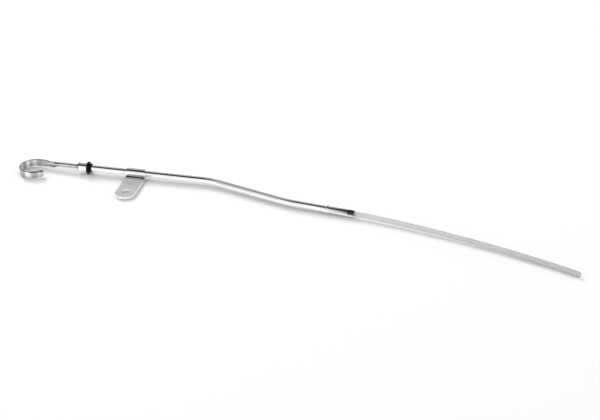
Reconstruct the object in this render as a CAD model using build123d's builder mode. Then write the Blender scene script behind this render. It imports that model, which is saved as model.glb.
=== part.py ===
import os
from math import acos, degrees, radians, sin, tan

from build123d import *

# Guide tube, in mm and degrees
tube_od = 7.94
tube_wall = 0.55
upper_run = 150.8  # mouth to the first bend's corner
middle_run = 103.5  # corner to corner
lower_run = 82.0  # second bend's corner to the lower end
first_bend = 18.2
first_radius = 65.0
second_bend = 10.2
second_radius = 120.0
bead_od = 10.1
bead_width = 3.4
bead_from_end = 32.0
lead_in = 1.4  # taper at the lower end
lead_in_depth = 0.3

# Strap bracket
strap_width = 23.4
strap_gauge = 1.6
strap_edge = 0.3
strap_start = 46.9  # from the tube's mouth
tab_reach = 46.5  # tube axis to the centre of the tab's round end
tab_drop = 1.2  # tab below the underside of the tube
joggle_bend = 4.0  # to the middle of the sheet
hole_reach = 42.5  # tube axis to bolt hole
bolt_hole = 12.0
wrap_over = 20.0  # how far the strap follows the tube's near side below its axis
return_slope = 40.0  # fall of the upper layer from the tube's side to the tab
return_bend = 1.1  # to the middle of the sheet
return_gap = 0.12  # between the tab's two layers

# Handle
loop_width = 9.0
loop_gauge = 1.8
loop_edge = 0.5
loop_radius = 16.75  # to the middle of the strip
loop_turn = 250.0
loop_centre = 64.5  # from the tube's mouth
neck_start = 53.5
neck_end = 38.5
shank_od = 6.0
shank_bore = 3.2
seam = 0.35
scoop_length = 1.0
lean_at = 17.0  # from the tube's mouth, just behind the cap
lean_down = 2.7
lean_back = 5.2
lean_roll = 1.6

# Cap and seal
cap_od = 11.0
cap_wall = 0.8
cap_length = 11.9
cap_round = 1.6
flange_od = 14.8
flange_width = 2.4
lip_od = 10.8
lip_length = 3.2
lip_clearance = 0.06
soft_edge = 0.4

# Blade
blade_width = 6.35
blade_gauge = 0.8
tang_width = 2.9
tang_length = 9.5
shoulder = 6.0  # from the tube's mouth, where the tang widens
exit_bow = 4.3
exit_length = 30.0
free_bow = 12.2
free_length = 244.0
tip_round = 2.6
full_mark = 62.0  # from the tip
low_mark = 38.0
mark_width = 0.6
mark_depth = 0.12

tube_r = tube_od / 2
bore_r = tube_r - tube_wall
cap_end = -flange_width - cap_length
first_tangent = first_radius * tan(radians(first_bend / 2))
second_tangent = second_radius * tan(radians(second_bend / 2))

# Tube centreline, from the mouth at the origin along +X
with BuildLine() as centreline:
    upper = Line((0, 0), (upper_run - first_tangent, 0))
    bend_1 = JernArc(upper @ 1, upper % 1, first_radius, -first_bend)
    middle = Line(
        bend_1 @ 1, bend_1 @ 1 + (bend_1 % 1) * (middle_run - first_tangent - second_tangent)
    )
    bend_2 = JernArc(middle @ 1, middle % 1, second_radius, second_bend)
    lower = Line(bend_2 @ 1, bend_2 @ 1 + (bend_2 % 1) * (lower_run - second_tangent))

tube_end = Plane(origin=lower @ 1, x_dir=(0, 0, 1), z_dir=lower % 1)
bead_plane = tube_end.offset(-bead_from_end)

with BuildPart() as guide_tube:
    with BuildSketch(Plane.YZ):
        Circle(tube_r)
        Circle(bore_r, mode=Mode.SUBTRACT)
    sweep(path=centreline.line)
    # Rolled bead, raised outside and hollow inside
    bead_rise = bead_od / 2 - tube_r
    bead_run = Plane(origin=bead_plane.origin, x_dir=bead_plane.z_dir, z_dir=(0, 0, 1))
    with BuildSketch(bead_run):
        with BuildLine():
            Line((-bead_width / 2, tube_r - tube_wall / 2), (bead_width / 2, tube_r - tube_wall / 2))
            Line((bead_width / 2, tube_r - tube_wall / 2), (bead_width / 2, tube_r))
            ThreePointArc((bead_width / 2, tube_r), (0, tube_r + bead_rise), (-bead_width / 2, tube_r))
            Line((-bead_width / 2, tube_r), (-bead_width / 2, tube_r - tube_wall / 2))
        make_face()
    revolve(axis=Axis(lower @ 1, lower % 1))
    with BuildSketch(bead_run):
        with BuildLine():
            Line((-bead_width / 2, bore_r), (bead_width / 2, bore_r))
            ThreePointArc((bead_width / 2, bore_r), (0, bore_r + bead_rise), (-bead_width / 2, bore_r))
        make_face()
    revolve(axis=Axis(lower @ 1, lower % 1), mode=Mode.SUBTRACT)
    # Lead-in taper at the pressed end
    with BuildSketch(Plane(origin=lower @ 1, x_dir=lower % 1, z_dir=(0, 0, 1))):
        Polygon(
            (-lead_in, tube_r), (0, tube_r), (0, tube_r - lead_in_depth), align=None
        )
    revolve(axis=Axis(lower @ 1, lower % 1), mode=Mode.SUBTRACT)

# Strap, folded from one strip: tab, under the tube, round the back and over, then down on to the tab
fold_r = tube_r + strap_gauge / 2
tab_level = -fold_r - tab_drop
upper_level = tab_level + strap_gauge + return_gap
joggle = degrees(acos(1 - tab_drop / joggle_bend / 2))
dip = sin(radians(wrap_over))
slope_run = (-upper_level - fold_r * dip - return_bend * (1 + dip)) / sin(radians(return_slope))
strap_middle = strap_start + strap_width / 2

with BuildLine(Plane(origin=(strap_middle, 0, 0), x_dir=(0, 1, 0), z_dir=(1, 0, 0))) as fold:
    tab = Line((-tab_reach, tab_level), (-2 * joggle_bend * sin(radians(joggle)), tab_level))
    rise = JernArc(tab @ 1, tab % 1, joggle_bend, joggle)
    JernArc(rise @ 1, rise % 1, joggle_bend, -joggle)
    wrap = CenterArc((0, 0), fold_r, -90, 270 + wrap_over)
    turn_out = JernArc(wrap @ 1, wrap % 1, return_bend, return_slope - 90 - wrap_over)
    slope = Line(turn_out @ 1, turn_out @ 1 + (turn_out % 1) * slope_run)
    turn_flat = JernArc(slope @ 1, slope % 1, return_bend, -return_slope)
    Line(turn_flat @ 1, (-tab_reach, upper_level))

with BuildPart() as bracket:
    tab_centre = (strap_middle, -tab_reach, tab_level)
    with BuildSketch(Plane(origin=tab_centre, x_dir=(1, 0, 0), z_dir=(0, 1, 0))):
        Rectangle(strap_width, strap_gauge)
    sweep(path=fold.line)
    tab_foot = Plane(origin=tab_centre).offset(-strap_gauge / 2)
    for level in (0, strap_gauge + return_gap):
        with BuildSketch(tab_foot.offset(level)):
            Circle(strap_width / 2)
        extrude(amount=strap_gauge)
    across = (strap_gauge, strap_width)
    fillet(bracket.edges().filter_by(lambda e: round(e.length, 2) not in across), strap_edge)
    with BuildSketch(tab_foot):
        with Locations((0, tab_reach - hole_reach)):
            Circle(bolt_hole / 2)
    extrude(amount=2 * strap_gauge + return_gap, mode=Mode.SUBTRACT)

# Handle: strip curled into the loop, neck drawn in and rolled into the shank
with BuildLine() as curl:
    straight = Line((-neck_start, 0), (-loop_centre, 0))
    JernArc(straight @ 1, straight % 1, loop_radius, loop_turn)

with BuildPart() as grip:
    with BuildSketch(Plane(origin=(-neck_start, 0, 0), x_dir=(0, 1, 0), z_dir=(-1, 0, 0))):
        Rectangle(loop_gauge, loop_width)
    sweep(path=curl.line)
    loop_end = grip.faces().sort_by_distance(curl.line @ 1)[0].edges().sort_by(Axis.Z)
    fillet([loop_end[0], loop_end[-1]], loop_width * 0.48)
    joint_face = grip.faces().sort_by_distance((-neck_start, 0, 0))[0]
    across = grip.edges().filter_by(Axis.Z)
    fillet(grip.edges() - joint_face.edges() - across, loop_edge)
    neck_plane = Plane(origin=(-neck_start, 0, 0), x_dir=(0, 1, 0), z_dir=(1, 0, 0))
    with BuildSketch(neck_plane):
        RectangleRounded(loop_gauge, loop_width, loop_edge)
    with BuildSketch(neck_plane.offset(neck_start - neck_end)):
        RectangleRounded(shank_od, shank_od, shank_od / 2 - 0.01)
    loft()
    with BuildSketch(neck_plane.offset(neck_start - neck_end)):
        Circle(shank_od / 2)
    extrude(amount=neck_end - lean_at)
    with BuildSketch(neck_plane.offset(neck_start - lean_at)):
        Circle(shank_bore / 2)
    extrude(amount=lean_at - neck_end, mode=Mode.SUBTRACT)
    # The roll opens towards the loop, and its seam runs down to the cap
    throat = Plane(origin=(-neck_end, -shank_od * 0.15, 0), x_dir=(0, 1, 0), z_dir=(1, 0, 0))
    scoop = Plane(origin=(scoop_length - neck_start, -shank_od * 0.38, 0), x_dir=(0, 1, 0), z_dir=(1, 0, 0))
    with BuildSketch(throat):
        Circle(shank_bore / 2)
    with BuildSketch(scoop):
        Circle(shank_bore * 0.06)
    loft(mode=Mode.SUBTRACT)
    with BuildSketch(Plane(origin=(-neck_end, -shank_od / 2, 0), x_dir=(1, 0, 0), z_dir=(0, 1, 0))):
        with Locations(((neck_end + cap_end) / 2, 0)):
            Rectangle(neck_end + cap_end + 4, seam)
    extrude(amount=shank_od / 2, mode=Mode.SUBTRACT)

# Where it leaves the cap the shank is bent, so that the loop comes down to the floor
lean = Pos(-lean_at, 0, 0) * Rot(0, -lean_down, -lean_back) * Rot(lean_roll, 0, 0) * Pos(lean_at, 0, 0)
with BuildPart() as handle:
    add(grip.part.moved(lean))
    with Locations((-lean_at, 0, 0)):
        Sphere(shank_od / 2 + 0.02)
    with BuildSketch(Plane.YZ.offset(-lean_at)):
        Circle(shank_od / 2)
    extrude(amount=lean_at - shoulder)
    with BuildSketch(Plane.YZ.offset(-shoulder)):
        Circle(shank_bore / 2)
    extrude(amount=-tang_length, mode=Mode.SUBTRACT)

with BuildPart() as cap:
    with BuildSketch(Plane.YZ.offset(cap_end)):
        Circle(cap_od / 2)
    extrude(amount=cap_length)
    fillet(cap.edges().sort_by(Axis.X)[0], cap_round)
    with BuildSketch(Plane.YZ.offset(cap_end + cap_wall)):
        Circle(cap_od / 2 - cap_wall)
    extrude(amount=cap_length, mode=Mode.SUBTRACT)
    with BuildSketch(Plane.YZ.offset(cap_end)):
        Circle(shank_od / 2)
    extrude(amount=cap_wall, mode=Mode.SUBTRACT)

with BuildPart() as seal:
    with BuildSketch(Plane.YZ.offset(-flange_width)):
        Circle(flange_od / 2)
    extrude(amount=flange_width)
    fillet(seal.edges(), soft_edge)
    with BuildSketch(Plane.YZ):
        Circle(lip_od / 2)
    extrude(amount=lip_length)
    fillet(seal.edges().sort_by(Axis.X)[-1], soft_edge)
    with BuildSketch(Plane.YZ):
        Circle(tube_r + lip_clearance)
    extrude(amount=lip_length, mode=Mode.SUBTRACT)
    with BuildSketch(Plane.YZ.offset(-flange_width)):
        Circle(cap_od / 2 - cap_wall)
    extrude(amount=cap_wall - cap_length)
    with BuildSketch(Plane.YZ.offset(-shoulder)):
        Circle(shank_od / 2)
    extrude(amount=-cap_length, mode=Mode.SUBTRACT)
    with BuildSketch(Plane.YZ.offset(-shoulder)):
        Rectangle(blade_gauge, blade_width)
    extrude(amount=shoulder, mode=Mode.SUBTRACT)

with BuildLine() as flat:
    Line((-shoulder, 0), (0, 0))
    add(centreline.line)
    bow = JernArc(lower @ 1, lower % 1, exit_length / radians(exit_bow), -exit_bow)
    free = JernArc(bow @ 1, bow % 1, free_length / radians(free_bow), -free_bow)

with BuildPart() as blade:
    with BuildSketch(Plane.YZ.offset(-shoulder)):
        Rectangle(blade_gauge, blade_width)
    sweep(path=flat.line)
    tip_edges = blade.edges().filter_by(lambda e: abs(e.length - blade_gauge) < 0.01).sort_by(Axis.X)[-2:]
    fillet(tip_edges, tip_round)
    with BuildSketch(Plane.YZ.offset(-shoulder)):
        Rectangle(blade_gauge, tang_width)
    extrude(amount=-tang_length)
    # Level marks stamped across the near face
    for mark in (full_mark, low_mark):
        along = 1 - mark / free_length
        across = (free % along).cross(Vector(0, 0, 1))
        floor = free @ along + across * (blade_gauge / 2 - mark_depth)
        with BuildSketch(Plane(origin=floor, x_dir=free % along, z_dir=across)):
            Rectangle(mark_width, blade_width + 1)
        extrude(amount=blade_gauge, mode=Mode.SUBTRACT)

# Lying on the seal's rim, the bead and the blade's tip
near_tip = 1 - tip_round / free_length
seal_foot = Vector(-soft_edge, 0, -flange_od / 2)
bead_foot = bead_plane.origin - Vector(0, 0, bead_od / 2)
tip_foot = free @ near_tip - Vector(0, 0, blade_width / 2)
floor_up = (tip_foot - seal_foot).cross(bead_foot - seal_foot).normalized()
floor_plane = Plane(origin=seal_foot, x_dir=Vector(1, 0, 0) - floor_up * floor_up.X, z_dir=floor_up)
laying = floor_plane.location.inverse()

pieces = {
    "guide_tube": guide_tube,
    "bracket": bracket,
    "handle": handle,
    "cap": cap,
    "seal": seal,
    "blade": blade,
}
box = Compound([p.part.moved(laying) for p in pieces.values()]).bounding_box()
at_rest = Pos(-box.center().X, -box.center().Y, -box.min.Z) * laying

os.makedirs("parts", exist_ok=True)
for name, piece in pieces.items():
    piece.part.move(at_rest)
    piece.part.label = name
    export_step(piece.part, f"parts/{name}.step")
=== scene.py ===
from math import cos, pi, radians, sin, sqrt, tan

import bmesh
import bpy
from mathutils import Matrix, Vector


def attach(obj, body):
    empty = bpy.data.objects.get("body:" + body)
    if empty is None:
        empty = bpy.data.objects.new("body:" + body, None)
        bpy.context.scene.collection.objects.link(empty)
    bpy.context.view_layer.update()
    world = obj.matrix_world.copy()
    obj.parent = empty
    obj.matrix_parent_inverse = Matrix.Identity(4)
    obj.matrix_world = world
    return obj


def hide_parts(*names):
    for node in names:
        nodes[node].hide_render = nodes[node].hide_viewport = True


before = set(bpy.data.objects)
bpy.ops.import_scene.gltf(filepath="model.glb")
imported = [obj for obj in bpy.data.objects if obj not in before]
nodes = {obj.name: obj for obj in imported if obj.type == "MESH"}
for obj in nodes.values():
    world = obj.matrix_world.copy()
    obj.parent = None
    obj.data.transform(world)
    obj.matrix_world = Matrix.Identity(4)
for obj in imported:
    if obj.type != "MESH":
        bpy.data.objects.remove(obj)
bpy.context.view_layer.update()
scene = bpy.context.scene
mm = 0.001
print("frame loaded:", ", ".join(sorted(nodes)))

# How the part lies: the tube's mouth in mm, the way the upper run points and the way the tab faces
lying = {
    "mouth": (-253.764, 59.431, 7.400),
    "along": (0.99996, 0.0, -0.008975),
    "up": (0.008975, 0.008503, 0.999924),
}
along, up = Vector(lying["along"]), Vector(lying["up"])
side = up.cross(along)
toRest = Matrix.Translation(Vector(lying["mouth"]) * mm) @ Matrix((along, side, up)).transposed().to_4x4()

# The line that tube, cap, seal and blade all follow, in mm and degrees, starting behind the cap
line = {
    "lead": 40.0, "upper": 150.8, "middle": 103.5, "lower": 82.0,
    "firstBend": 18.2, "firstRadius": 65.0, "secondBend": 10.2, "secondRadius": 120.0,
    "exitBow": 4.3, "exitLength": 30.0, "freeBow": 12.2, "freeLength": 244.0,
    "turnStep": 0.4, "firstStep": 0.8, "secondStep": 1.0, "straightStep": 12.0,
}
firstCut = line["firstRadius"] * tan(radians(line["firstBend"] / 2))  # corner to the bend's start
secondCut = line["secondRadius"] * tan(radians(line["secondBend"] / 2))
firstArc = line["firstRadius"] * radians(line["firstBend"])
secondArc = line["secondRadius"] * radians(line["secondBend"])
bendOne = line["upper"] - firstCut  # distances from the mouth
bendTwo = bendOne + firstArc + line["middle"] - firstCut - secondCut
tubeEnd = bendTwo + secondArc + line["lower"] - secondCut
tipEnd = tubeEnd + line["exitLength"] + line["freeLength"]


def walk(start, heading, moves):
    points, x, y = [start], *start
    for length, turn in moves:
        count = max(1, int(abs(turn) / line["turnStep"]))
        for _ in range(count):
            heading += radians(turn) / count / 2
            x, y = x + cos(heading) * length / count, y + sin(heading) * length / count
            heading += radians(turn) / count / 2
            points.append((x, y))
    return points


def between(a, b, step):
    count = max(1, round(abs(b - a) / step))
    return [a + (b - a) * i / count for i in range(count + 1)]


def eased(value, a, b):
    t = min(1.0, max(0.0, (value - a) / (b - a)))
    return t * t * (3 - 2 * t)


def polyline(name, points, closed=False):
    mesh = bpy.data.meshes.new(name)
    edges = [(i, i + 1) for i in range(len(points) - 1)] + ([(len(points) - 1, 0)] if closed else [])
    mesh.from_pydata(points, edges, [])
    return bpy.data.objects.new(name, mesh)


def circle(name, sides):
    turns = [2 * pi * i / sides for i in range(sides)]
    return polyline(name, [(cos(turn), -sin(turn), 0) for turn in turns], True)


spine = polyline("spine", [(x * mm, y * mm, 0) for x, y in walk((-line["lead"], 0), 0, [
    (line["lead"] + bendOne, 0), (firstArc, -line["firstBend"]),
    (bendTwo - bendOne - firstArc, 0), (secondArc, line["secondBend"]),
    (tubeEnd - bendTwo - secondArc, 0), (line["exitLength"], -line["exitBow"]),
    (line["freeLength"], -line["freeBow"]),
])])


# Short ways to add a node: a wire is (socket, value or the socket that feeds it)
def addNode(tree, kind, *wires, **settings):
    node = tree.nodes.new(kind)
    for key, value in settings.items():
        setattr(node, key, value)
    for socket, source in wires:
        if hasattr(source, "links"):
            tree.links.new(source, node.inputs[socket])
        else:
            node.inputs[socket].default_value = source
    return node


def maths(tree, operation, *values, **settings):
    return addNode(tree, "ShaderNodeMath", *enumerate(values), operation=operation, **settings).outputs[0]


def vectors(tree, operation, *values):
    return addNode(tree, "ShaderNodeVectorMath", *enumerate(values), operation=operation).outputs[0]


def scaled(tree, vector, level):
    return addNode(tree, "ShaderNodeVectorMath", (0, vector), ("Scale", level), operation="SCALE").outputs[0]


def split(tree, vector):
    return addNode(tree, "ShaderNodeSeparateXYZ", (0, vector)).outputs


def ranged(tree, value, span=(0.0, 1.0), to=(0.0, 1.0), curve="LINEAR"):
    wires = zip(("Value", "From Min", "From Max", "To Min", "To Max"), (value, *span, *to))
    return addNode(tree, "ShaderNodeMapRange", *wires, interpolation_type=curve).outputs[0]


def blended(tree, factor, a, b, kind="RGBA"):
    wires = ("Factor", factor), ("A", a), ("B", b)
    return addNode(tree, "ShaderNodeMix", *wires, data_type=kind).outputs["Result"]


# Sweeps an outline along the spine: each station is (distance, scale across, scale in height)
def sweepTree():
    tree = bpy.data.node_groups.new("sweepOnSpine", "GeometryNodeTree")
    for name, kind in (("Stations", "Geometry"), ("Spine", "Object"), ("Outline", "Object"),
                       ("Start", "Float"), ("Weld", "Float"), ("Finish", "Material")):
        tree.interface.new_socket(name, in_out="INPUT", socket_type="NodeSocket" + kind)
    tree.interface.new_socket("Swept", in_out="OUTPUT", socket_type="NodeSocketGeometry")

    def made(kind, *wires, **settings):
        return addNode(tree, "GeometryNode" + kind, *wires, **settings).outputs

    given = addNode(tree, "NodeGroupInput").outputs
    shape = made("ObjectInfo", ("Object", given["Outline"]))["Geometry"]
    wire = made("ObjectInfo", ("Object", given["Spine"]))["Geometry"]
    curve = made("MeshToCurve", ("Mesh", wire))[0]
    rows = made("AttributeDomainSize", ("Geometry", given["Stations"]))["Point Count"]
    turns = made("AttributeDomainSize", ("Geometry", shape))["Point Count"]
    grid = made("MeshGrid", ("Size X", 1.0), ("Size Y", 1.0), ("Vertices X", rows),
                ("Vertices Y", maths(tree, "ADD", turns, 1.0)))["Mesh"]
    spot = made("InputPosition")[0]
    cell = split(tree, spot)

    def counted(part, steps):  # the grid is 1 wide about its middle
        return maths(tree, "ROUND", maths(tree, "MULTIPLY", maths(tree, "ADD", part, 0.5), steps))

    def read(geometry, index):
        taken = made("SampleIndex", ("Geometry", geometry), ("Value", spot), ("Index", index),
                     data_type="FLOAT_VECTOR", domain="POINT")
        return split(tree, taken[0])

    station = read(given["Stations"], counted(cell[0], maths(tree, "SUBTRACT", rows, 1.0)))
    outline = read(shape, maths(tree, "MODULO", counted(cell[1], turns), turns))
    reach = maths(tree, "ADD", station[0], given["Start"])
    place = made("SampleCurve", ("Curves", curve), ("Length", reach), mode="LENGTH", use_all_curves=True)
    left = vectors(tree, "NORMALIZE", vectors(tree, "CROSS_PRODUCT", (0, 0, 1), place["Tangent"]))
    across = scaled(tree, left, maths(tree, "MULTIPLY", outline[0], station[1]))
    height = maths(tree, "MULTIPLY", outline[1], station[2])
    rise = addNode(tree, "ShaderNodeCombineXYZ", ("Z", height)).outputs[0]
    point = vectors(tree, "ADD", place["Position"], vectors(tree, "ADD", across, rise))
    tagged = made("StoreNamedAttribute", ("Geometry", grid), ("Name", "station"), ("Value", station[0]),
                  data_type="FLOAT", domain="POINT")[0]
    swept = made("SetPosition", ("Geometry", tagged), ("Position", point))[0]
    welded = made("MergeByDistance", ("Geometry", swept), ("Distance", given["Weld"]))[0]
    smooth = made("SetShadeSmooth", ("Geometry", welded))[0]
    real = made("RealizeInstances", ("Geometry", smooth))[0]
    done = made("SetMaterial", ("Geometry", real), ("Material", given["Finish"]))[0]
    addNode(tree, "NodeGroupOutput", ("Swept", done))
    return tree


sweepOnSpine = sweepTree()
weldGap = 0.002  # mm


def sweep(name, stations, outline, finish, creaseAngle):
    rough = polyline(name + "Stations", [(s * mm, a * mm, b * mm) for s, a, b in stations])
    scene.collection.objects.link(rough)
    modifier = rough.modifiers.new("sweep", "NODES")
    modifier.node_group = sweepOnSpine
    sockets = {s.name: s.identifier for s in sweepOnSpine.interface.items_tree}
    for key, value in (("Spine", spine), ("Outline", outline), ("Start", line["lead"] * mm),
                       ("Weld", weldGap * mm), ("Finish", finish)):
        modifier[sockets[key]] = value
    graph = bpy.context.evaluated_depsgraph_get()
    mesh = bpy.data.meshes.new_from_object(rough.evaluated_get(graph))
    bpy.data.objects.remove(rough)
    return settle(name, mesh, creaseAngle)


def settle(name, mesh, creaseAngle):
    mesh.name = name
    mesh.transform(toRest)
    mesh.set_sharp_from_angle(angle=radians(creaseAngle))
    piece = bpy.data.objects.new(name, mesh)
    scene.collection.objects.link(piece)
    return piece


# Shared effects
def effect(name, inputs, outputs):
    tree = bpy.data.node_groups.new(name, "ShaderNodeTree")
    for label in inputs:
        kind = "NodeSocketVector" if label == "Vector" else "NodeSocketFloat"
        tree.interface.new_socket(label, in_out="INPUT", socket_type=kind)
    for label in outputs:
        tree.interface.new_socket(label, in_out="OUTPUT", socket_type="NodeSocketFloat")
    return tree, addNode(tree, "NodeGroupInput").outputs


def handlingEffect():  # faint finger marks that dull a surface
    tree, given = effect("handling", ("Vector", "Scale", "Clean", "Handled"), ("Roughness", "Film"))
    cloud = addNode(tree, "ShaderNodeTexNoise", ("Vector", given["Vector"]), ("Scale", given["Scale"]),
                    ("Detail", 5.0), ("Roughness", 0.62), ("Distortion", 0.4)).outputs["Fac"]
    film = ranged(tree, cloud, span=(0.48, 0.72), curve="SMOOTHSTEP")
    rough = ranged(tree, film, to=(given["Clean"], given["Handled"]))
    addNode(tree, "NodeGroupOutput", ("Roughness", rough), ("Film", film))
    return tree


def grainEffect():  # drawn or ground lines, stretched by the mapping that feeds it
    tree, given = effect("grain", ("Vector", "Scale"), ("Height", "Streak"))
    lines = addNode(tree, "ShaderNodeTexNoise", ("Vector", given["Vector"]), ("Scale", given["Scale"]),
                    ("Detail", 4.0), ("Roughness", 0.7)).outputs["Fac"]
    streak = ranged(tree, lines, span=(0.3, 0.7))
    addNode(tree, "NodeGroupOutput", ("Height", lines), ("Streak", streak))
    return tree


handling, grain = handlingEffect(), grainEffect()
bumpDepth = 0.1  # mm


def newFinish(name):
    material = bpy.data.materials.new(name)
    material.use_nodes = True
    tree = material.node_tree
    return material, tree, tree.nodes["Principled BSDF"]


def useEffect(tree, group, *wires):
    return addNode(tree, "ShaderNodeGroup", *wires, node_tree=group).outputs


def onPiece(tree):
    return addNode(tree, "ShaderNodeTexCoord").outputs["Object"]


def stretched(tree, scale, turn=0.0):
    wires = ("Vector", onPiece(tree)), ("Scale", scale), ("Rotation", (0, 0, radians(turn)))
    return addNode(tree, "ShaderNodeMapping", *wires).outputs[0]


def attribute(tree, name):
    return addNode(tree, "ShaderNodeAttribute", attribute_name=name).outputs["Fac"]


def inMetres(*lengths):
    return [length * mm for length in lengths]


def filmed(tree, look, scale):
    return useEffect(tree, handling, ("Vector", onPiece(tree)), ("Scale", scale),
                     ("Clean", look["clean"]), ("Handled", look["handled"]))


def dress(tree, skin, colour, roughness, height, bump):
    relief = ("Height", height), ("Strength", bump), ("Distance", bumpDepth * mm)
    normal = addNode(tree, "ShaderNodeBump", *relief).outputs[0]
    for socket, source in (("Base Color", colour), ("Roughness", roughness), ("Normal", normal)):
        tree.links.new(source, skin.inputs[socket])


# Plating: a film of finger marks over fine drawn lines, with what each plated piece changes
plate = {"filmScale": 70.0, "lineScale": 2200.0, "lineStretch": (0.06, 1, 1), "bump": 0.02}


def plating(name, look, change):
    material, tree, skin = newFinish(name)
    film = filmed(tree, look, plate["filmScale"])
    colour = blended(tree, film["Film"], (*look["bright"], 1), (*look["dull"], 1))
    tone, rough = change(tree, look, colour, film)
    lines = useEffect(tree, grain, ("Vector", stretched(tree, plate["lineStretch"])),
                      ("Scale", plate["lineScale"]))
    skin.inputs["Metallic"].default_value = 1.0
    dress(tree, skin, tone, rough, lines["Height"], plate["bump"])
    return material


# On the tube it stops short of the lower end, where the bare steel is dark with a painted reflection
# lightening its underside; above that a painted dark reflection darkens its top
tubeLook = {"clean": 0.05, "handled": 0.11, "bright": (0.88, 0.88, 0.89), "dull": (0.82, 0.82, 0.83),
            "bareLength": 7.2, "bareEdge": 0.3, "wander": 0.6, "bareLitHeights": (3.6, 5.2),
            "bareTonesLitBelow": (0.95, 0.07), "bareRough": 0.34, "paintedDark": (0.06, 0.06, 0.065),
            "paintedDarkHeights": (4.9, 5.5), "paintedDarkStarts": (25.5, 22.0), "paintedDarkGrows": 23.0,
            "paintedDarkAmounts": (0.25, 0.8)}


def bareEndPaintedReflections(tree, look, tone, film):
    bareFrom, edge = tubeEnd - look["bareLength"], look["bareEdge"]
    height = split(tree, onPiece(tree))["Z"]
    down = maths(tree, "MULTIPLY_ADD", film["Film"], look["wander"] * mm, attribute(tree, "station"))
    bare = ranged(tree, down, inMetres(bareFrom - edge, bareFrom + edge))
    # painted reflection: the bare steel is lighter underneath and darker on top
    bareToneLitBelow = ranged(tree, height, inMetres(*look["bareLitHeights"]), look["bareTonesLitBelow"], "SMOOTHSTEP")
    # painted dark reflection along the top of the lower run, growing towards the bare end
    started = ranged(tree, down, inMetres(*(bareFrom - start for start in look["paintedDarkStarts"])))
    grown = ranged(tree, down, inMetres(bareFrom - look["paintedDarkGrows"], bareFrom), look["paintedDarkAmounts"])
    onTop = ranged(tree, height, inMetres(*look["paintedDarkHeights"]))
    paintedDark = maths(tree, "MULTIPLY", maths(tree, "MULTIPLY", grown, started), onTop)
    withPaintedDark = blended(tree, paintedDark, tone, (*look["paintedDark"], 1))
    rough = blended(tree, bare, film["Roughness"], look["bareRough"], "FLOAT")
    return blended(tree, bare, withPaintedDark, bareToneLitBelow), rough


# On the strap it is rubbed matt on the tab, nearer than mattFrom, with painted shade on the tab just nearer
# than the crease where the tab starts
strapLook = {"clean": 0.10, "handled": 0.20, "bright": (0.91, 0.91, 0.92), "dull": (0.84, 0.84, 0.85),
             "mattFrom": 53.2, "mattReach": 1.5, "mattRough": 0.26,
             "creaseShadeBehind": 0.3, "creaseShadeFades": (4.2, 5.8), "creaseShadeTone": 0.5}


def rubbedTabCreaseShade(tree, look, tone, film):
    edge, depth = look["mattFrom"], split(tree, onPiece(tree))["Y"]
    rubs = inMetres(edge, edge - look["mattReach"])
    matt = ranged(tree, depth, rubs, (0.0, look["mattRough"]), "SMOOTHSTEP")
    # painted shade: the tab is darker just nearer than the crease
    fades = inMetres(*(edge - fade for fade in look["creaseShadeFades"]))
    nearer = ranged(tree, depth, fades, (look["creaseShadeTone"], 1.0), "SMOOTHSTEP")
    farther = maths(tree, "GREATER_THAN", depth, (edge + look["creaseShadeBehind"]) * mm)
    outside = maths(tree, "MAXIMUM", nearer, farther)
    return scaled(tree, tone, outside), maths(tree, "ADD", film["Roughness"], matt)


# On the cap a painted dark reflection darkens the top of the closed end where the shank goes in
capLook = {"clean": 0.05, "handled": 0.10, "bright": (0.88, 0.88, 0.89), "dull": (0.82, 0.82, 0.83),
           "rimFades": (-266.8, -266.1), "topFades": (6.2, 5.0), "capEndReflectionTone": 0.22}


def capEndDarkReflection(tree, look, tone, film):
    place = split(tree, onPiece(tree))
    past = ranged(tree, place["X"], inMetres(*look["rimFades"]))
    below = ranged(tree, place["Z"], inMetres(*look["topFades"]))
    # painted dark reflection: darker on the top of the closed end
    level = ranged(tree, maths(tree, "MAXIMUM", past, below), to=(look["capEndReflectionTone"], 1.0))
    return scaled(tree, tone, level), film["Roughness"]


# On the handle it is dulled in patches where the attribute says that a finger pulls; the patches' dark tone
# is also painted shade, and it has painted shade low down
handleLook = {"clean": 0.05, "handled": 0.12, "bright": (0.88, 0.88, 0.89), "dull": (0.80, 0.80, 0.81),
              "patchStretch": (1, 1, 0.35), "patchScale": 140.0, "patchSpan": (0.41, 0.62),
              "wornShadedTones": (0.15, 0.42), "wornRough": 0.17, "lowShadeHeights": (3.0, 6.5), "lowShadeTone": 0.86}


def wornLoopPaintedLight(tree, look, tone, film):
    wearAndShade = attribute(tree, "wearAndShade")
    patch = addNode(tree, "ShaderNodeTexNoise", ("Vector", stretched(tree, look["patchStretch"])),
                    ("Scale", look["patchScale"]), ("Detail", 3.0), ("Roughness", 0.55),
                    ("Distortion", 0.8)).outputs["Fac"]
    # painted shade: the worn patches go darker than wear alone would make them
    level = ranged(tree, patch, look["patchSpan"], look["wornShadedTones"], "SMOOTHSTEP")
    shade = blended(tree, wearAndShade, 1.0, level, "FLOAT")
    height = split(tree, onPiece(tree))["Z"]
    # painted shade: darker low down
    lowShade = ranged(tree, height, inMetres(*look["lowShadeHeights"]), (look["lowShadeTone"], 1.0), "SMOOTHSTEP")
    rough = maths(tree, "MULTIPLY_ADD", wearAndShade, look["wornRough"], film["Roughness"])
    return scaled(tree, scaled(tree, tone, shade), lowShade), rough


tubeChrome = plating("tubeChrome", tubeLook, bareEndPaintedReflections)
strapChrome = plating("strapChrome", strapLook, rubbedTabCreaseShade)
capChrome = plating("capChrome", capLook, capEndDarkReflection)
handleChrome = plating("handleChrome", handleLook, wornLoopPaintedLight)

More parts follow.
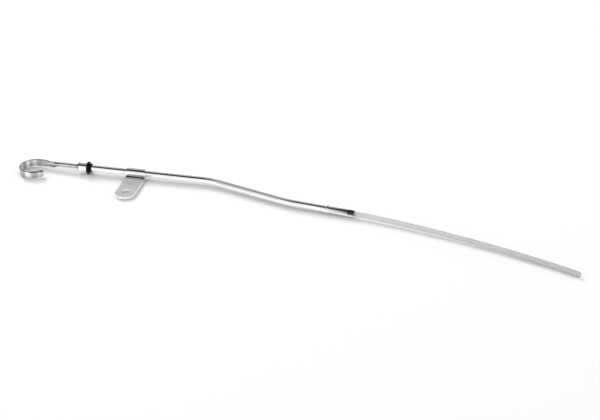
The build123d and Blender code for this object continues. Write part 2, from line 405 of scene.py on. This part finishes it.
# Blade steel: satin, with slanting lines, and painted light that makes it a little brighter where it leaves
# the tube
steelLook = {"clean": 0.68, "handled": 0.78, "filmScale": 40.0, "dark": (0.60, 0.60, 0.61),
             "light": (0.68, 0.68, 0.69), "lineScale": 1800.0, "lineStretch": (0.03, 1, 1),
             "lineTurn": 24.0, "bump": 0.15, "paintedLightGain": (1.17, 1.0)}


def springSteel(name, look):
    material, tree, skin = newFinish(name)
    lines = useEffect(tree, grain, ("Vector", stretched(tree, look["lineStretch"], look["lineTurn"])),
                      ("Scale", look["lineScale"]))
    film = filmed(tree, look, look["filmScale"])
    colour = blended(tree, lines["Streak"], (*look["dark"], 1), (*look["light"], 1))
    # painted light: brighter where the blade leaves the tube, darker towards the tip
    paintedLightGain = ranged(tree, attribute(tree, "station"), inMetres(tubeEnd, tipEnd), look["paintedLightGain"])
    skin.inputs["Metallic"].default_value = 1.0
    dress(tree, skin, scaled(tree, colour, paintedLightGain), film["Roughness"], lines["Height"], look["bump"])
    return material


# Seal rubber: black and finely specked
rubberLook = {"clean": 0.26, "handled": 0.42, "filmScale": 150.0, "dark": (0.008, 0.008, 0.009),
              "light": (0.022, 0.022, 0.023), "speckScale": 1500.0, "bump": 0.2, "shine": 0.08}


def mouldedRubber(name, look):
    material, tree, skin = newFinish(name)
    speck = useEffect(tree, grain, ("Vector", onPiece(tree)), ("Scale", look["speckScale"]))
    film = filmed(tree, look, look["filmScale"])
    colour = blended(tree, film["Film"], (*look["dark"], 1), (*look["light"], 1))
    skin.inputs["Specular IOR Level"].default_value = look["shine"]
    dress(tree, skin, colour, film["Roughness"], speck["Height"], look["bump"])
    return material


bladeSteel, sealRubber = springSteel("bladeSteel", steelLook), mouldedRubber("sealRubber", rubberLook)
print("finishes ready")

# Guide tube: outside from mouth to lower end, then back up the bore
tube = {"radius": 3.97, "wall": 0.55, "sides": 72, "creaseAngle": 40,
        "lip": 0.15, "lipRound": 0.3, "plainFrom": 2.0, "plainStep": 4.0,
        "beadRadius": 5.05, "beadWidth": 3.4, "beadFromEnd": 32.0, "beadStep": 0.12,
        "beadFoot": 0.5, "footShare": 0.4, "roundShare": 0.86, "footGaps": (0.1, 0.2),
        "leadIn": 1.4, "leadInDepth": 0.3, "endEdge": 0.1}


def bendStations(a, b):
    stops = {a, b, *between(a, b, line["straightStep"])}
    stops.update(between(bendOne, bendOne + firstArc, line["firstStep"]))
    stops.update(between(bendTwo, bendTwo + secondArc, line["secondStep"]))
    return sorted(s for s in stops if a <= s <= b)


def beadRise(t):  # from 0 at the foot to 1 on the crown
    if t < tube["footShare"]:
        return eased(t, 0, 1)
    return min(1.0, sqrt(max(0.0, 1 - ((1 - t) / tube["roundShare"]) ** 2)))


def tubeStations():
    r, bore = tube["radius"], tube["radius"] - tube["wall"]
    lip, lipRound, endEdge = tube["lip"], tube["lip"] * tube["lipRound"], tube["endEdge"]
    bead, reach = tubeEnd - tube["beadFromEnd"], tube["beadWidth"] / 2 + tube["beadFoot"]
    before, after = tube["footGaps"]
    outside = [(0, r - lip), (lipRound, r - lipRound), (lip, r)]
    outside += [(s, r) for s in bendStations(tube["plainFrom"], bead - reach - before)]
    for s in between(-reach, reach, tube["beadStep"]):
        rise = beadRise(max(0.0, 1 - abs(s) / reach))
        outside.append((bead + s, r + (tube["beadRadius"] - r) * rise))
    outside += [(s, r) for s in between(bead + reach + after, tubeEnd - tube["leadIn"], tube["plainStep"])]
    narrow = r - tube["leadInDepth"]
    outside += [(tubeEnd - endEdge, narrow), (tubeEnd, narrow - endEdge)]
    inside = [(s, bore) for s in reversed(bendStations(0, tubeEnd))]
    return [(s, radius, radius) for s, radius in outside + inside + outside[:1]]


ring = circle("ring", tube["sides"])
tubeWall = sweep("tubeWall", tubeStations(), ring, tubeChrome, tube["creaseAngle"])
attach(tubeWall, "tube")
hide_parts("guide_tube")
print("tube swept:", len(tubeWall.data.polygons), "faces")

# Blade: tang in the shank, shoulder at the cap, then the strip on edge down to its rounded tip
blade = {"gauge": 0.8, "width": 6.35, "edge": 0.16, "edgeSteps": 4, "creaseAngle": 30, "step": 3.0,
         "tangWidth": 2.9, "tangFrom": -15.5, "shoulder": -6.0, "tipRound": 2.6, "tipSteps": 12,
         "marks": (62.0, 38.0), "markWidth": 0.6, "markDepth": 0.12, "markEdge": 0.05}


def bladeStations():
    half, thick, tang = blade["width"] / 2, blade["gauge"] / 2, blade["tangWidth"] / 2
    reach, edge = blade["markWidth"] / 2, blade["markEdge"]
    tip, steps = blade["tipRound"], blade["tipSteps"]
    rows = [(blade["tangFrom"], thick, 0), (blade["tangFrom"], thick, tang),
            (blade["shoulder"], thick, tang), (blade["shoulder"], thick, half)]
    stops = bendStations(0, tubeEnd) + between(tubeEnd, tipEnd - tip, blade["step"])[1:]
    marks = [tipEnd - mark for mark in blade["marks"]]
    for mark in marks:
        stops += [mark - reach - edge, mark - reach, mark + reach, mark + reach + edge]
    for s in sorted(stops):
        cut = any(abs(s - mark) < reach + edge / 2 for mark in marks)
        rows.append((s, thick - (blade["markDepth"] if cut else 0), half))
    for i in range(1, steps + 1):
        turn = pi / 2 * i / steps
        rows.append((tipEnd - tip + tip * sin(turn), thick, half - tip + tip * cos(turn)))
    return rows + [(tipEnd, thick, 0)]


def stripOutline(edgeAcross, edgeHigh, steps):
    points = []
    for across, high, first in ((1, 1, 90), (1, -1, 0), (-1, -1, -90), (-1, 1, 180)):
        for i in range(steps + 1):
            turn = radians(first - 90 * i / steps)
            points.append((across * (1 - edgeAcross) + edgeAcross * cos(turn),
                           high * (1 - edgeHigh) + edgeHigh * sin(turn), 0))
    return polyline("strip", points, True)


strip = stripOutline(blade["edge"] / (blade["gauge"] / 2), blade["edge"] / (blade["width"] / 2),
                     blade["edgeSteps"])
bladeStrip = sweep("bladeStrip", bladeStations(), strip, bladeSteel, blade["creaseAngle"])
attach(bladeStrip, "dipstick")
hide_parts("blade")
print("blade swept:", len(bladeStrip.data.polygons), "faces")

# Handle: a strip on edge, curled into the loop at one end and rolled round the tang at the other.
# Wear and painted shade go by the distance along the loop, the near wall darker as painted shade, and a
# painted highlight is (middle, reach, share of wear gone)
handle = {"height": 9.0, "gauge": 1.8, "edge": 0.5, "faceSteps": 26, "edgeSteps": 8, "creaseAngle": 40,
          "loopRadius": 16.75, "loopTurn": 250.0, "loopCentre": -64.5, "loopStep": 0.8,
          "endRound": 4.3, "endSteps": 14, "endEdge": 0.2,
          "shear": 2.2, "shearLength": 27.0, "shearFull": 9.0, "shearMost": 0.4,
          "rollStart": -58.0, "rollHalf": -49.0, "rollEnd": -38.5, "rollStep": 0.35, "narrowFrom": -53.0,
          "shankRadius": 3.0, "shankGauge": 1.4, "shankEdge": 0.25, "seam": 0.14, "inner": -6.0,
          "innerStep": 3.0, "shankStep": 6.0, "neckStep": 3.0,
          "leanAt": -17.0, "leanReach": 2.5, "leanStep": 0.5,
          "leanDown": 2.7, "leanBack": 5.2, "leanRoll": 1.6,
          "shankWearAndShade": 0.6, "wearFrom": -45.0, "farWearAndShade": 0.7, "nearWearAndShade": 0.9, "nearShadeRise": (36.0, 43.0),
          "paintedHighlights": ((6.5, 4.0, 0.45), (15.5, 2.5, 0.8), (26.5, 4.0, 0.6), (52.5, 5.0, 0.85),
                       (73.0, 2.0, 0.9))}


def stripSection(curl, height, gauge, back, edge, shear=0):  # closed outline (outwards, up), bent to 1 / curl
    half, thick, steps = height / 2, gauge / 2, handle["edgeSteps"]

    def at(u, out):
        bent = curl * u
        if curl == 0:
            return (back + out, u)
        return (back - (1 - cos(bent)) / curl + out * cos(bent), sin(bent) / curl + out * sin(bent))

    def face(out, top):
        step = (top + half - edge) / handle["faceSteps"]
        return [at(u, out) for u in between(-half + edge, top, step)]

    turns = [pi * i / steps for i in range(1, steps)]
    points = face(thick, half - edge - shear)
    for turn in turns:  # top edge, sheared lower on its outer side
        points.append(at(half - edge + edge * sin(turn) - shear * (1 + cos(turn)) / 2, thick * cos(turn)))
    points += reversed(face(-thick, half - edge))
    for turn in turns:
        points.append(at(-half + edge - edge * sin(turn), -thick * cos(turn)))
    return points


def neckSection(x):  # strip, then a half round of the strip's height, then closed to the shank
    h = handle
    half, shut = eased(x, h["rollStart"], h["rollHalf"]), eased(x, h["rollHalf"], h["rollEnd"])
    gauge = h["gauge"] + (h["shankGauge"] - h["gauge"]) * (half + shut) / 2
    edge = h["edge"] + (h["shankEdge"] - h["edge"]) * shut
    rolled = h["shankRadius"] - h["shankGauge"] / 2
    bend = max(1e-3, pi * half + (pi - h["seam"] / rolled) * shut)  # never quite flat
    tall = h["height"] + (2 * h["shankRadius"] - h["height"]) * eased(x, h["narrowFrom"], h["rollEnd"])
    radius = tall / 2 / sin(min(bend, pi) / 2) - gauge / 2
    return stripSection(1 / radius, radius * bend, gauge, rolled * (half + shut) / 2, edge)


def leaned(point):  # bent where the shank leaves the cap, so that the loop comes down to the floor
    h = handle
    bent = eased(point.x, h["leanAt"] + h["leanReach"], h["leanAt"] - h["leanReach"])
    turn = Matrix.Identity(3)
    for angle, axis in ((-h["leanDown"], "Y"), (-h["leanBack"], "Z"), (h["leanRoll"], "X")):
        turn @= Matrix.Rotation(radians(angle * bent), 3, axis)
    pivot = Vector((h["leanAt"], 0, 0))
    return pivot + turn @ (point - pivot)


def neckStops():
    h = handle
    near, far = h["leanAt"] + h["leanReach"], h["leanAt"] - h["leanReach"]
    stops = between(h["inner"], near, h["innerStep"])
    stops += between(near - h["leanStep"], far + h["leanStep"], h["leanStep"])
    stops += between(far, h["rollEnd"], h["shankStep"])
    return stops + between(h["rollEnd"], h["rollStart"], h["rollStep"])[1:]


def handleRows():  # each section with its distance along the loop, which is below 0 on the neck
    h = handle
    rows = [(x, neckSection(x)) for x in neckStops()]
    flat = stripSection(0, h["height"], h["gauge"], 0, h["edge"])
    rows += [(x, flat) for x in between(h["rollStart"], h["loopCentre"], h["neckStep"])[1:]]
    rows = [(h["loopCentre"] - x, [Vector((x, p, z)) for p, z in section]) for x, section in rows]
    centre = Vector((h["loopCentre"], -h["loopRadius"], 0))
    arc, endRound, steps = h["loopRadius"] * radians(h["loopTurn"]), h["endRound"], h["endSteps"]
    stops = between(0, arc - endRound, h["loopStep"])[1:]
    stops += [arc - endRound + endRound * sin(pi / 2 * i / steps) for i in range(1, steps + 1)]
    for s in stops:
        turn = pi / 2 + s / h["loopRadius"]
        outward = Vector((cos(turn), sin(turn), 0))
        past = max(0.0, s - arc + endRound)
        tall = h["height"] - 2 * (endRound - sqrt(max(0.0, endRound ** 2 - past ** 2)))
        shear = h["shear"] * eased(s, arc - h["shearLength"], arc - h["shearFull"])
        section = stripSection(0, tall, h["gauge"], 0, min(h["edge"], tall * h["endEdge"]),
                               min(shear, tall * h["shearMost"]))
        rows.append((s, [centre + outward * (h["loopRadius"] + p) + Vector((0, 0, z)) for p, z in section]))
    return rows


def wearShadeHighlightAt(x, s):
    h = handle
    # painted highlights take darkening away; the near wall gets more darkening as painted shade
    bright = max(share * max(0.0, 1 - ((s - middle) / reach) ** 2) for middle, reach, share in h["paintedHighlights"])
    wall = h["farWearAndShade"] + (h["nearWearAndShade"] - h["farWearAndShade"]) * eased(s, *h["nearShadeRise"])
    return max(h["shankWearAndShade"], eased(x, h["wearFrom"], h["rollStart"])) * wall * (1 - bright)


def handleMesh():
    work = bmesh.new()
    wearAndShade = work.verts.layers.float.new("wearAndShade")
    grid = []
    for s, row in handleRows():
        grid.append([work.verts.new(leaned(point) * mm) for point in row])
        for point, vert in zip(row, grid[-1]):
            vert[wearAndShade] = wearShadeHighlightAt(point.x, s)
    for a, b in zip(grid, grid[1:]):
        for i in range(len(a)):
            j = (i + 1) % len(a)
            work.faces.new((a[i], a[j], b[j], b[i]))
    work.faces.new(reversed(grid[0]))
    work.faces.new(grid[-1])
    bmesh.ops.recalc_face_normals(work, faces=work.faces)
    for face in work.faces:
        face.smooth = True
    mesh = bpy.data.meshes.new("handleStrip")
    work.to_mesh(mesh)
    work.free()
    mesh.materials.append(handleChrome)
    return mesh


handleStrip = settle("handleStrip", handleMesh(), handle["creaseAngle"])
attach(handleStrip, "dipstick")
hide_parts("handle")
print("handle rolled:", len(handleStrip.data.polygons), "faces")

# Bracket, cap and seal are the solids themselves, with better finishes
for name, finish in (("bracket", strapChrome), ("cap", capChrome), ("seal", sealRubber)):
    nodes[name].data.materials.clear()
    nodes[name].data.materials.append(finish)

# Camera at the photograph's angle: picture, focal length and the place of the origin are in pixels
camera = {"azimuth": 12.39, "elevation": 28.0, "distance": 1.9, "sensor": 36.0, "clip": (0.01, 50.0),
          "picture": (600, 420), "focal": 1664.8, "originAt": (285.73, 217.29)}
wide, high = camera["picture"]
eye = bpy.data.cameras.new("eye")
eye.sensor_width = camera["sensor"]
eye.lens = camera["focal"] * camera["sensor"] / wide
eye.shift_x = (wide / 2 - camera["originAt"][0]) / wide
eye.shift_y = (camera["originAt"][1] - high / 2) / wide
eye.clip_start, eye.clip_end = camera["clip"]
azimuth, elevation = radians(camera["azimuth"]), radians(camera["elevation"])
back = Vector((sin(azimuth) * cos(elevation), -cos(azimuth) * cos(elevation), sin(elevation)))
viewer = bpy.data.objects.new("viewer", eye)
viewer.location = back * camera["distance"]
viewer.rotation_mode = "QUATERNION"
viewer.rotation_quaternion = (-back).to_track_quat("-Z", "Y")
scene.collection.objects.link(viewer)
scene.camera = viewer

# Studio: pale floor, bright surround, dark ceiling that draws the lines on the plating.
# A sky's stops are (height, level), and a lamp is (name, place, size, watts)
studio = {"floor": (0.93, 0.93, 0.93), "floorReach": 6.0, "floorGlow": 0.05, "floorMirrored": 0.3,
          "frontSky": ((0.0, 1.0), (0.60, 1.0), (0.74, 0.5), (0.81, 0.04), (1.0, 0.03)),
          "rearSky": ((0.0, 1.0), (0.12, 0.95), (0.47, 0.58), (0.90, 0.5), (0.965, 0.05), (1.0, 0.03)),
          "skiesMeet": (-0.25, 0.25), "duskSpan": (0.62, 0.84), "duskLevel": 0.12,
          "ambient": 0.68, "fill": 0.04,
          "lamps": (("back", (-3.90, 4.60, 3.55), 3.0, 285.0), ("side", (-5.50, -0.60, 4.25), 3.0, 70.0))}


def grey(level):
    return (level, level, level, 1)


def ramp(tree, value, stops):
    node = addNode(tree, "ShaderNodeValToRGB", ("Fac", value))
    points = node.color_ramp.elements
    while len(points) < len(stops):
        points.new(0.5)
    for point, (at, level) in zip(points, stops):
        point.position, point.color = at, grey(level)
    return node.outputs["Color"]


def lightPath(tree):
    return addNode(tree, "ShaderNodeLightPath").outputs


def seenRay(tree):
    path = lightPath(tree)
    first = maths(tree, "MAXIMUM", path["Is Camera Ray"], path["Is Glossy Ray"])
    return maths(tree, "MAXIMUM", first, path["Is Transmission Ray"])


def surround():
    world = bpy.data.worlds.new("studio")
    scene.world = world
    world.use_nodes = True
    tree = world.node_tree
    way = split(tree, addNode(tree, "ShaderNodeTexCoord").outputs["Generated"])
    height = maths(tree, "MAXIMUM", way["Z"], 0.0)
    front, rear = ramp(tree, height, studio["frontSky"]), ramp(tree, height, studio["rearSky"])
    sky = blended(tree, ranged(tree, way["Y"], studio["skiesMeet"]), front, rear)
    # The room is dark to the left and right, which marks the ends of the plated pieces
    aside = maths(tree, "ABSOLUTE", way["X"])
    dusk = ranged(tree, aside, studio["duskSpan"], (1.0, studio["duskLevel"]), "SMOOTHSTEP")
    room = blended(tree, seenRay(tree), grey(studio["ambient"]), scaled(tree, sky, dusk))
    # Light that reaches the floor by way of the plating is kept low, so that shadows stay full
    path = lightPath(tree)
    filling = maths(tree, "SUBTRACT", path["Diffuse Depth"], path["Is Diffuse Ray"], use_clamp=True)
    kept = blended(tree, filling, room, grey(studio["fill"]))
    tree.links.new(kept, tree.nodes["Background"].inputs["Color"])


def paleFloor():
    mesh, reach = bpy.data.meshes.new("floor"), studio["floorReach"]
    corners = [(x * reach, y * reach, 0) for x, y in ((-1, -1), (1, -1), (1, 1), (-1, 1))]
    mesh.from_pydata(corners, [], [(0, 1, 2, 3)])
    floor = bpy.data.objects.new("floor", mesh)
    scene.collection.objects.link(floor)
    material, tree, skin = newFinish("paleFloor")
    tree.nodes.remove(skin)
    matt = addNode(tree, "ShaderNodeBsdfDiffuse", ("Color", (*studio["floor"], 1))).outputs[0]
    # The plating shows the floor paler than it lies, so that its own shadow draws no line on it
    path = lightPath(tree)
    mirrored = maths(tree, "SUBTRACT", path["Is Glossy Ray"], path["Diffuse Depth"], use_clamp=True)
    seen = maths(tree, "MULTIPLY", seenRay(tree), studio["floorGlow"])
    level = maths(tree, "MULTIPLY_ADD", mirrored, studio["floorMirrored"], seen)
    glow = addNode(tree, "ShaderNodeEmission", ("Strength", level)).outputs[0]
    both = addNode(tree, "ShaderNodeAddShader", (0, matt), (1, glow)).outputs[0]
    tree.links.new(both, tree.nodes["Material Output"].inputs["Surface"])
    mesh.materials.append(material)


def softLamp(name, place, size, watts):
    lamp = bpy.data.lights.new(name, "AREA")
    lamp.shape, lamp.size, lamp.energy = "DISK", size, watts
    held = bpy.data.objects.new(name, lamp)
    held.location = place
    held.rotation_mode = "QUATERNION"
    held.rotation_quaternion = (-Vector(place)).to_track_quat("-Z", "Y")
    held.visible_camera = held.visible_glossy = False
    scene.collection.objects.link(held)


surround()
paleFloor()
for lamp in studio["lamps"]:
    softLamp(*lamp)
scene.view_settings.view_transform = "Standard"
print("studio lit")
